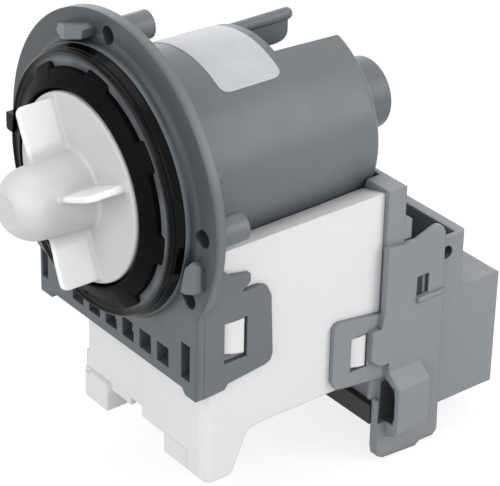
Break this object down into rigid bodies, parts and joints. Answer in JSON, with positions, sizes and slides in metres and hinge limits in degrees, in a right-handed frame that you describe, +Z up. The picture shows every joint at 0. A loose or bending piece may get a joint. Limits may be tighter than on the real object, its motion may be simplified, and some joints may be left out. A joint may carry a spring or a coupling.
{
  "type": "washing machine drain pump",
  "caption": "Drain pump with a bladed impeller in front of a round screw-on flange, a barrel motor over a white coil box and a plug socket at the rear.",
  "frame": {"origin": "pump axis at the front face of the flange", "axes": "+Z up with the coil box hanging below the barrel, +Y along the pump axis to the rear, -Y is the side that the impeller points to, +X to the side that the picture shows"},
  "size_m": [0.09, 0.138, 0.1374],
  "materials": {
    "housing_grey": "satin moulded",
    "connector_grey": "satin moulded",
    "white_plastic": "satin moulded",
    "impeller_white": "smooth moulded",
    "black_plastic": "smooth moulded",
    "seal_rubber": "glossy wet-look",
    "can_plastic": "moulded",
    "bearing_bronze": "sintered",
    "core_steel": "stacked sheets",
    "black_steel": "black varnish",
    "copper_wire": "varnished wire",
    "blade_brass": "stamped",
    "label_film": "bare silver-grey film",
    "shaft_steel": "ground",
    "magnet_ferrite": "sintered ferrite"
  },
  "bodies": {
    "housing": {"motor_housing": "housing_grey", "seal_ring": "seal_rubber", "collar_ring": "black_plastic", "front_cover": "black_plastic", "can_o_ring": "seal_rubber", "rotor_can": "can_plastic", "front_bearing": "bearing_bronze", "rear_bearing": "bearing_bronze", "rear_bearing_cup": "seal_rubber", "stator_core": "core_steel", "core_strap": "black_steel", "bobbin_left": "white_plastic", "bobbin_right": "white_plastic", "coil_left": "copper_wire", "coil_right": "copper_wire", "thermal_protector": "black_plastic", "lead_wires": "copper_wire", "terminal_blades": "blade_brass", "connector_housing": "connector_grey", "label": "label_film"},
    "rotor": {"shaft": "shaft_steel", "rotor_magnet": "magnet_ferrite", "rotor_sleeve": "shaft_steel", "front_washer": "white_plastic", "rear_washer": "white_plastic", "drive_dog": "black_plastic"},
    "impeller_body": {"impeller": "impeller_white", "hub_plug": "impeller_white"}
  },
  "joints": [
    {"name": "rotor_spin", "type": "hinge", "parent": "housing", "child": "rotor", "pos_m": [0, 0, 0], "axis": [0, 1, 0], "continuous": true},
    {"name": "impeller_play", "type": "hinge", "parent": "rotor", "child": "impeller_body", "pos_m": [0, -0.02, 0], "axis": [0, 1, 0], "range_deg": [-140, 140]}
  ]
}
